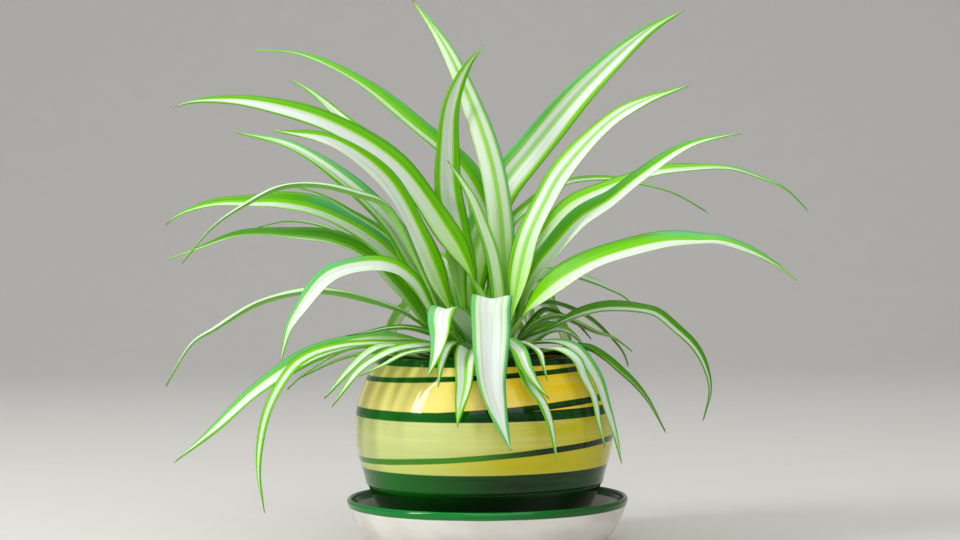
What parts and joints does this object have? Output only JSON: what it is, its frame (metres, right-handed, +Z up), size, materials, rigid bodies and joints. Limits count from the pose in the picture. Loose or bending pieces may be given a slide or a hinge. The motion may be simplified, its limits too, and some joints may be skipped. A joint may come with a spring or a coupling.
{
  "type": "potted spider plant",
  "caption": "Spider plant with a rosette of arching variegated strap leaves, in a round-bellied glazed pot that stands in a shallow saucer.",
  "frame": {"origin": "centre of the saucer's flat underside, at the height of the surface it stands on", "axes": "+Z up, -Y towards the front that the picture shows, +X to the plant's right in the picture"},
  "size_m": [0.3555, 0.2196, 0.3005],
  "materials": {
    "saucer_glaze": "glossy",
    "pot_glaze": "glossy",
    "soil": "rough",
    "crown": "satin",
    "leaf": "satin"
  },
  "bodies": {
    "root": {"saucer": "saucer_glaze", "pot": "pot_glaze", "soil": "soil", "crown": "crown", "leaf_top_1": "leaf", "leaf_top_2": "leaf", "leaf_top_3": "leaf", "leaf_top_4": "leaf", "leaf_left_01": "leaf", "leaf_left_02": "leaf", "leaf_left_03": "leaf", "leaf_left_04": "leaf", "leaf_left_05": "leaf", "leaf_left_06": "leaf", "leaf_left_07": "leaf", "leaf_left_08": "leaf", "leaf_left_09": "leaf", "leaf_left_10": "leaf", "leaf_left_11": "leaf", "leaf_left_12": "leaf", "leaf_left_13": "leaf", "leaf_left_14": "leaf", "leaf_left_15": "leaf", "leaf_left_16": "leaf", "leaf_left_17": "leaf", "leaf_left_18": "leaf", "leaf_left_19": "leaf", "leaf_left_20": "leaf", "leaf_front_01": "leaf", "leaf_front_02": "leaf", "leaf_front_03": "leaf", "leaf_front_04": "leaf", "leaf_front_05": "leaf", "leaf_front_06": "leaf", "leaf_front_07": "leaf", "leaf_front_08": "leaf", "leaf_front_09": "leaf", "leaf_front_10": "leaf", "leaf_right_01": "leaf", "leaf_right_02": "leaf", "leaf_right_03": "leaf", "leaf_right_04": "leaf", "leaf_right_05": "leaf", "leaf_right_06": "leaf", "leaf_right_07": "leaf", "leaf_right_08": "leaf", "leaf_right_09": "leaf", "leaf_right_10": "leaf", "leaf_right_11": "leaf", "leaf_right_12": "leaf", "leaf_back_01": "leaf", "leaf_back_02": "leaf", "leaf_back_03": "leaf", "leaf_back_04": "leaf", "leaf_back_05": "leaf", "leaf_back_06": "leaf", "leaf_back_07": "leaf", "leaf_back_08": "leaf", "leaf_back_09": "leaf", "leaf_back_10": "leaf"}
  },
  "joints": []
}
